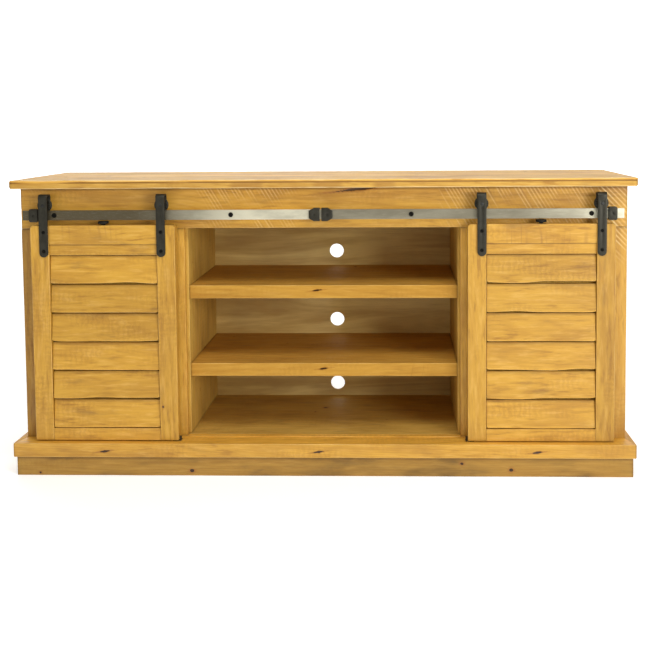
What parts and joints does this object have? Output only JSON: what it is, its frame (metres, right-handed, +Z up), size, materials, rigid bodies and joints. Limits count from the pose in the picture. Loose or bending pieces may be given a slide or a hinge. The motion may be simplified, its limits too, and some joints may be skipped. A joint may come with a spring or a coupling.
{
  "type": "tv stand with doors",
  "caption": "Rustic pine TV stand: plank top, open centre bay with shelves and cable holes, and louvred barn doors that slide on a flat steel rail.",
  "frame": {"origin": "on the floor, at the centre of the stand's footprint", "axes": "+X to the stand's right seen from the front, +Y towards its back, +Z up"},
  "size_m": [1.778, 0.508, 0.845],
  "materials": {
    "top_pine": "satin lacquered honey pine planks",
    "frame_pine": "amber stained pine with saw marks, satin",
    "door_pine": "amber stained pine with saw marks, satin",
    "inner_pine": "amber stained pine, satin",
    "back_ply": "stained plywood, matt",
    "rail_steel": "bare rolled flat bar",
    "wheel_steel": "black coated turned steel",
    "axle_steel": "black coated steel",
    "black_metal": "black powder coat, satin",
    "black_nylon": "black nylon"
  },
  "bodies": {
    "cabinet": {"top_plank_front": "top_pine", "top_plank_middle": "top_pine", "top_plank_back": "top_pine", "header": "frame_pine", "outer_stile_left": "frame_pine", "outer_stile_right": "frame_pine", "centre_stile_left": "frame_pine", "centre_stile_right": "frame_pine", "bottom_rail": "frame_pine", "side_panel_left": "frame_pine", "side_panel_right": "frame_pine", "ledge_front_board": "frame_pine", "ledge_left": "frame_pine", "ledge_right": "frame_pine", "plinth_front": "frame_pine", "plinth_left": "frame_pine", "plinth_right": "frame_pine", "plinth_back": "frame_pine", "divider_left": "inner_pine", "divider_right": "inner_pine", "bottom_panel": "inner_pine", "back_nailer": "inner_pine", "shelf_upper": "inner_pine", "shelf_lower": "inner_pine", "side_shelf_left": "inner_pine", "side_shelf_right": "inner_pine", "plinth_blocks": "inner_pine", "back_panel": "back_ply", "rail_left": "rail_steel", "rail_right": "rail_steel", "shelf_pins": "rail_steel", "rail_spacers": "black_metal", "rail_bolts": "black_metal", "centre_stops": "black_metal", "end_stops": "black_metal", "floor_guides": "black_nylon"},
    "door_left": {"door_left_stile_outer": "door_pine", "door_left_stile_inner": "door_pine", "door_left_top_rail": "door_pine", "door_left_bottom_rail": "door_pine", "door_left_louvres": "door_pine", "door_left_backer": "back_ply", "door_left_hangers": "black_metal", "door_left_hanger_screws": "black_metal", "door_left_axles": "axle_steel", "door_left_jump_disc": "black_nylon"},
    "wheel_left_outer": {"wheel_left_outer": "wheel_steel"},
    "wheel_left_inner": {"wheel_left_inner": "wheel_steel"},
    "door_right": {"door_right_stile_outer": "door_pine", "door_right_stile_inner": "door_pine", "door_right_top_rail": "door_pine", "door_right_bottom_rail": "door_pine", "door_right_louvres": "door_pine", "door_right_backer": "back_ply", "door_right_hangers": "black_metal", "door_right_hanger_screws": "black_metal", "door_right_axles": "axle_steel", "door_right_jump_disc": "black_nylon"},
    "wheel_right_outer": {"wheel_right_outer": "wheel_steel"},
    "wheel_right_inner": {"wheel_right_inner": "wheel_steel"}
  },
  "joints": [
    {"name": "door_left_slide", "type": "slide", "parent": "cabinet", "child": "door_left", "axis": [1, 0, 0], "range_m": [0, 0.408]},
    {"name": "wheel_left_outer_spin", "type": "hinge", "parent": "door_left", "child": "wheel_left_outer", "pos_m": [-0.786, -0.218, 0.7738], "axis": [0, 1, 0], "continuous": true},
    {"name": "wheel_left_inner_spin", "type": "hinge", "parent": "door_left", "child": "wheel_left_inner", "pos_m": [-0.452, -0.218, 0.7738], "axis": [0, 1, 0], "continuous": true},
    {"name": "door_right_slide", "type": "slide", "parent": "cabinet", "child": "door_right", "axis": [-1, 0, 0], "range_m": [0, 0.408]},
    {"name": "wheel_right_outer_spin", "type": "hinge", "parent": "door_right", "child": "wheel_right_outer", "pos_m": [0.786, -0.218, 0.7738], "axis": [0, 1, 0], "continuous": true},
    {"name": "wheel_right_inner_spin", "type": "hinge", "parent": "door_right", "child": "wheel_right_inner", "pos_m": [0.452, -0.218, 0.7738], "axis": [0, 1, 0], "continuous": true}
  ],
  "couplings": [
    {"joint": "wheel_left_outer_spin", "follows": "door_left_slide", "rad_per_m": 67.568},
    {"joint": "wheel_left_inner_spin", "follows": "door_left_slide", "rad_per_m": 67.568},
    {"joint": "wheel_right_outer_spin", "follows": "door_right_slide", "rad_per_m": -67.568},
    {"joint": "wheel_right_inner_spin", "follows": "door_right_slide", "rad_per_m": -67.568}
  ]
}
